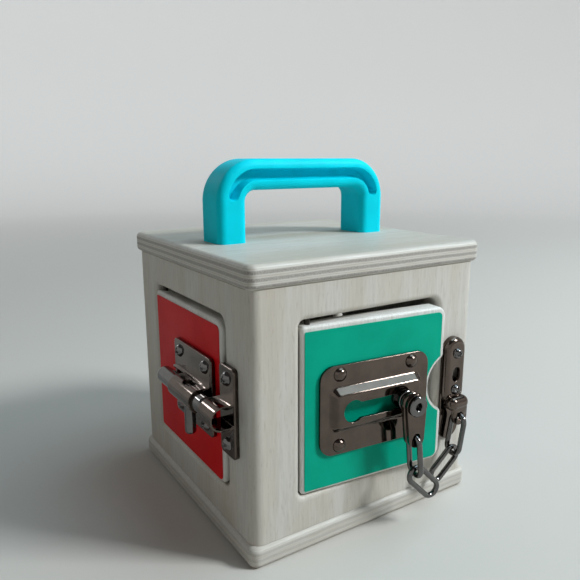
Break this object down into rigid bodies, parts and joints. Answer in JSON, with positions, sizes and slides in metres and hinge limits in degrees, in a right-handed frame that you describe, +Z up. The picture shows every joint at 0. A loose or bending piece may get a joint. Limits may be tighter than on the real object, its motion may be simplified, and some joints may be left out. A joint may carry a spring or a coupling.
{
  "type": "lock box toy",
  "caption": "Cube-shaped wooden lock box toy with a painted hinged door on every side, each with its own metal or wooden latch, and an arched carrying handle on the lid.",
  "frame": {"origin": "middle of the underside of the base, on the table", "axes": "+Z up, front (green door with the chain) at -Y, right (blue door) at +X, left (red door) at -X"},
  "size_m": [0.136, 0.1462, 0.1572],
  "materials": {
    "birch": "clear-coated birch plywood",
    "cyan_grip": "soft satin",
    "green_paint": "satin paint",
    "blue_paint": "satin paint",
    "yellow_paint": "satin paint",
    "red_paint": "satin paint",
    "pin_steel": "plain steel",
    "chrome": "bright nickel plating"
  },
  "bodies": {
    "box": {"base_plate": "birch", "lid_plate": "birch", "front_panel": "birch", "right_panel": "birch", "back_panel": "birch", "left_panel": "birch", "lid_dowels": "birch", "base_dowels": "birch", "handle": "cyan_grip", "handle_screws": "pin_steel", "green_pins": "pin_steel", "blue_pins": "pin_steel", "yellow_pins": "pin_steel", "red_pins": "pin_steel", "chain_anchor": "chrome", "anchor_screws": "chrome", "bolt_keeper": "chrome", "bolt_keeper_screws": "chrome", "hook_pivot": "chrome", "turn_button_pivot": "chrome"},
    "green_door_leaf": {"green_door": "birch", "green_facing": "green_paint", "slot_plate": "chrome", "slot_plate_rivets": "chrome"},
    "stud": {"chain_stud": "chrome"},
    "tag": {"chain_tag": "chrome"},
    "link_1": {"chain_link_1": "chrome"},
    "link_2": {"chain_link_2": "chrome"},
    "link_3": {"chain_link_3": "chrome"},
    "link_4": {"chain_link_4": "chrome"},
    "red_door_leaf": {"red_door": "birch", "red_facing": "red_paint", "bolt_housing": "chrome", "bolt_housing_screws": "chrome"},
    "bolt": {"bolt_rod": "chrome", "bolt_lever": "chrome"},
    "blue_door_leaf": {"blue_door": "birch", "blue_facing": "blue_paint", "hook_post": "chrome"},
    "swing_hook": {"hook": "chrome"},
    "yellow_door_leaf": {"yellow_door": "birch", "yellow_facing": "yellow_paint"},
    "button": {"turn_button": "birch"}
  },
  "joints": [
    {"name": "green_door_hinge", "type": "hinge", "parent": "box", "child": "green_door_leaf", "pos_m": [-0.032, -0.0553, 0.05955], "axis": [0, 0, -1], "range_deg": [-5.5, 96]},
    {"name": "blue_door_hinge", "type": "hinge", "parent": "box", "child": "blue_door_leaf", "pos_m": [0.0553, -0.032, 0.05955], "axis": [0, 0, -1], "range_deg": [0, 100]},
    {"name": "yellow_door_hinge", "type": "hinge", "parent": "box", "child": "yellow_door_leaf", "pos_m": [0.032, 0.0553, 0.05955], "axis": [0, 0, -1], "range_deg": [0, 100]},
    {"name": "red_door_hinge", "type": "hinge", "parent": "box", "child": "red_door_leaf", "pos_m": [-0.0553, 0.032, 0.05955], "axis": [0, 0, -1], "range_deg": [0, 100]},
    {"name": "stud_slide", "type": "slide", "parent": "green_door_leaf", "child": "stud", "axis": [0.9954, -0.0958, 0], "range_m": [-0.0255, 0]},
    {"name": "tag_pivot", "type": "hinge", "parent": "stud", "child": "tag", "pos_m": [0.00949, -0.07306, 0.0584], "axis": [-0.0958, -0.9954, 0], "range_deg": [-2.01, 0.13]},
    {"name": "link_1_pivot", "type": "hinge", "parent": "tag", "child": "link_1", "pos_m": [0.00998, -0.07311, 0.04441], "axis": [-0.0958, -0.9954, 0], "range_deg": [-4.02, 0.24]},
    {"name": "link_2_pivot", "type": "hinge", "parent": "link_1", "child": "link_2", "pos_m": [0.01189, -0.07329, 0.02611], "axis": [-0.0958, -0.9954, 0], "range_deg": [-39.01, 2.25]},
    {"name": "link_4_pivot", "type": "hinge", "parent": "box", "child": "link_4", "pos_m": [0.046, -0.0655, 0.042], "axis": [0, -1, 0], "range_deg": [-0.59, 10.02]},
    {"name": "link_3_pivot", "type": "hinge", "parent": "link_4", "child": "link_3", "pos_m": [0.0428, -0.0655, 0.02388], "axis": [0, -1, 0], "range_deg": [-2.42, 42.01]},
    {"name": "bolt_slide", "type": "slide", "parent": "red_door_leaf", "child": "bolt", "axis": [0, -1, 0], "range_m": [-0.006, 0.0065]},
    {"name": "hook_pivot_turn", "type": "hinge", "parent": "box", "child": "swing_hook", "pos_m": [0.0619, 0.04575, 0.08], "axis": [1, 0, 0], "range_deg": [0, 270]},
    {"name": "button_pivot_turn", "type": "hinge", "parent": "box", "child": "button", "pos_m": [-0.04775, 0.0632, 0.058], "axis": [0, 1, 0], "range_deg": [-90, 90]}
  ],
  "couplings": [
    {"joint": "tag_pivot", "follows": "green_door_hinge", "ratio": -0.020833},
    {"joint": "link_1_pivot", "follows": "green_door_hinge", "ratio": -0.041667},
    {"joint": "link_2_pivot", "follows": "green_door_hinge", "ratio": -0.40625},
    {"joint": "link_4_pivot", "follows": "green_door_hinge", "ratio": 0.10417},
    {"joint": "link_3_pivot", "follows": "green_door_hinge", "ratio": 0.4375}
  ]
}
